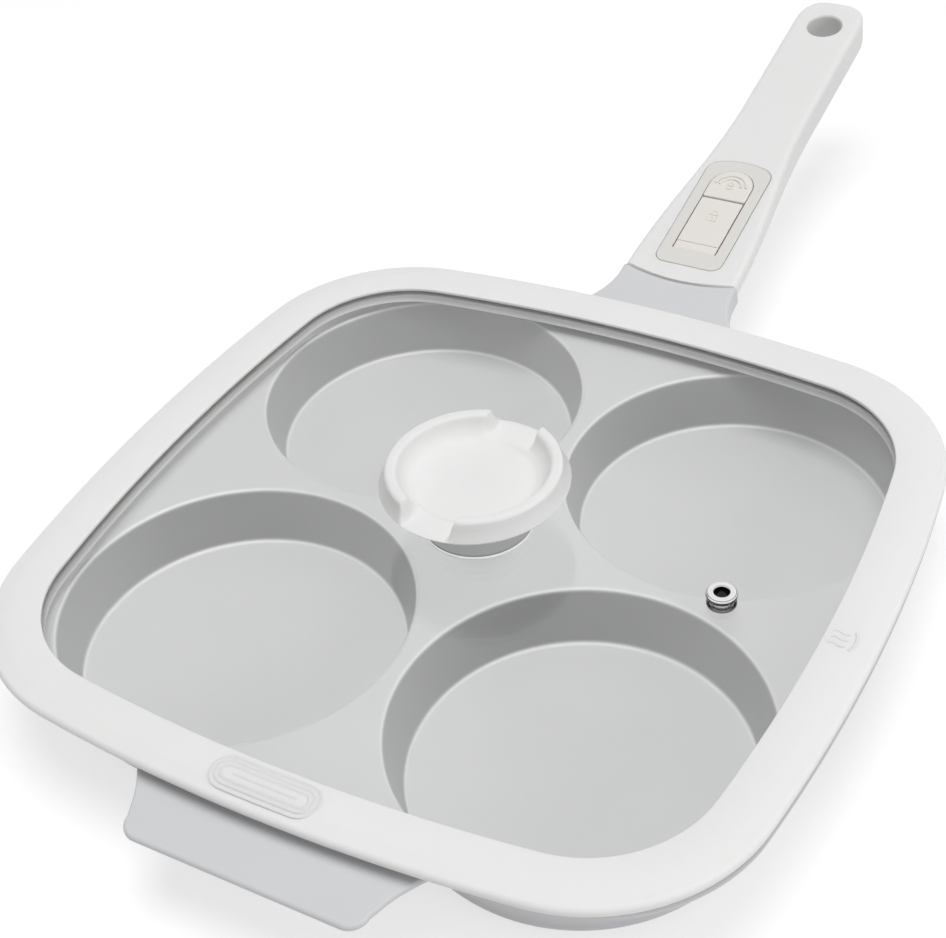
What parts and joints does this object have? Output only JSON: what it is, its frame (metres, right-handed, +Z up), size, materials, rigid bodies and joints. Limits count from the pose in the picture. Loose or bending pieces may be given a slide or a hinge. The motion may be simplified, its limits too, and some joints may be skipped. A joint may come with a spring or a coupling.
{
  "type": "four-cup egg pan",
  "caption": "Square frying pan with four round egg cups, a clear glass lid with a soft rim and dished knob, and a detachable handle with a lock lever and a release button.",
  "frame": {"origin": "middle of the whole object's plan, on the surface that its base discs stand on", "axes": "+Y from the pan to the end of the handle, +Z up, +X to the right seen from the helper lip"},
  "size_m": [0.2508, 0.4476, 0.0652],
  "materials": {
    "coated_metal": "matt non-stick coating",
    "steel": "brushed",
    "chrome": "polished",
    "brass": "plain",
    "clear_glass": "clear",
    "white_silicone": "satin silicone",
    "white_plastic": "satin gloss",
    "cream_plastic": "satin",
    "inner_plastic": "plain"
  },
  "bodies": {
    "pan": {"pan_body": "coated_metal", "base_disc_1": "steel", "base_disc_2": "steel", "base_disc_3": "steel", "base_disc_4": "steel", "tongue": "steel", "tongue_rivet_1": "steel", "tongue_rivet_2": "steel"},
    "lid": {"glass_lid": "clear_glass", "silicone_rim": "white_silicone", "knob_dish": "white_plastic", "knob_base": "white_plastic", "knob_insert": "brass", "knob_gasket": "white_silicone", "knob_washer": "steel", "knob_screw": "steel", "vent_grommet": "chrome", "vent_ferrule": "chrome"},
    "handle": {"handle_shell": "white_plastic", "bottom_cover": "white_plastic", "inner_frame": "inner_plastic", "button_panel": "cream_plastic", "lever_pin": "steel", "clamp_spring": "steel", "button_spring": "steel", "cover_screw_1": "steel", "cover_screw_2": "steel", "cover_screw_3": "steel"},
    "lever": {"lock_lever": "cream_plastic"},
    "button": {"release_button": "cream_plastic"},
    "clamp": {"clamp_shoe": "steel"}
  },
  "joints": [
    {"name": "lid_lift", "type": "slide", "parent": "pan", "child": "lid", "axis": [0, 0, 1], "range_m": [0, 0.06]},
    {"name": "handle_slide", "type": "slide", "parent": "pan", "child": "handle", "axis": [0, 0.9808, 0.1952], "range_m": [0, 0.05]},
    {"name": "lever_lock", "type": "hinge", "parent": "handle", "child": "lever", "pos_m": [0.0029, 0.07695, 0.03509], "axis": [1, 0, 0], "range_deg": [0, 80]},
    {"name": "button_press", "type": "slide", "parent": "handle", "child": "button", "axis": [0, 0.1952, -0.9808], "range_m": [0, 0.0018], "stiffness_N_per_m": 500, "springref_m": -0.001, "deforming": ["button_spring"]},
    {"name": "clamp_release", "type": "slide", "parent": "handle", "child": "clamp", "axis": [0, -0.1952, 0.9808], "range_m": [0, 0.00125], "deforming": ["clamp_spring"]}
  ],
  "couplings": [
    {"joint": "clamp_release", "follows": "lever_lock", "m_per_rad": 0.00086}
  ]
}
